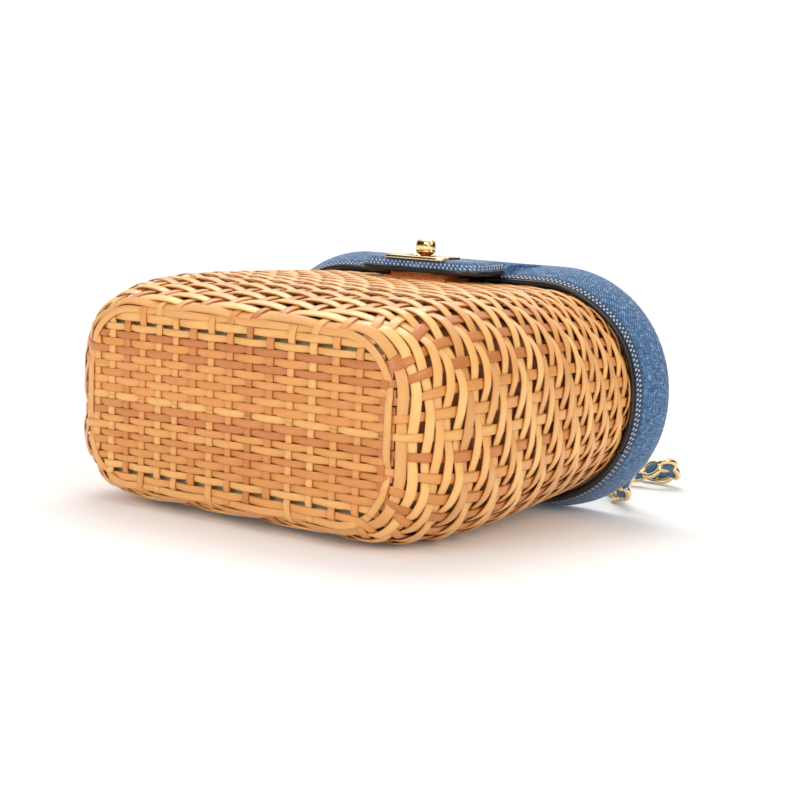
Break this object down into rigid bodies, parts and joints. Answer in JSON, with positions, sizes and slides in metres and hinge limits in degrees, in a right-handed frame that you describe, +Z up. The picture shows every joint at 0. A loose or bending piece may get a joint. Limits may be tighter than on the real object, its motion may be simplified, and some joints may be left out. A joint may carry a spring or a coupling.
{
  "type": "basket box bag",
  "caption": "Small woven wicker box bag lying on its back, with a denim-covered hinged lid, a tongue with a turn-lock, and a chain strap interlaced with denim.",
  "frame": {"origin": "on the floor under the middle of the bag, strap left out", "axes": "+X to the bag's right seen from its front, +Y from the base towards the lid, +Z up, out of the bag's front"},
  "size_m": [0.188, 0.2557, 0.1033],
  "materials": {
    "wicker": "varnished split cane",
    "lining": "plain woven cloth",
    "denim": "mid blue twill",
    "board": "stiff fibre sheet",
    "dark_edge": "painted edge, satin",
    "tan_leather": "smooth",
    "gold": "polished pale gold"
  },
  "bodies": {
    "basket": {"wicker_basket": "wicker", "basket_lining": "lining", "rim_binding": "denim", "rear_cover": "denim", "rear_core": "board", "rear_edge": "dark_edge", "lock_patch": "tan_leather", "lock_base": "tan_leather", "lock_screws": "gold", "lock_backing": "gold"},
    "lid": {"lid_cover": "denim", "lid_board": "board", "lid_lining": "lining", "lid_edge": "dark_edge", "ring_posts": "gold", "chain_rings": "gold", "chain_strap": "gold"},
    "tongue": {"front_tongue": "denim", "tongue_edge": "dark_edge", "lock_plate": "gold"},
    "knob": {"lock_knob": "gold"}
  },
  "joints": [
    {"name": "lid_open", "type": "hinge", "parent": "basket", "child": "lid", "pos_m": [0, 0.07351, 0.00138], "axis": [-1, 0, 0], "range_deg": [0, 90]},
    {"name": "tongue_lift", "type": "hinge", "parent": "lid", "child": "tongue", "pos_m": [0, 0.05821, 0.09559], "axis": [-1, 0, 0], "range_deg": [0, 80]},
    {"name": "knob_turn", "type": "hinge", "parent": "basket", "child": "knob", "pos_m": [0, 0.03445, 0.0906], "axis": [0, -0.0538, 0.9985], "range_deg": [0, 90]}
  ]
}
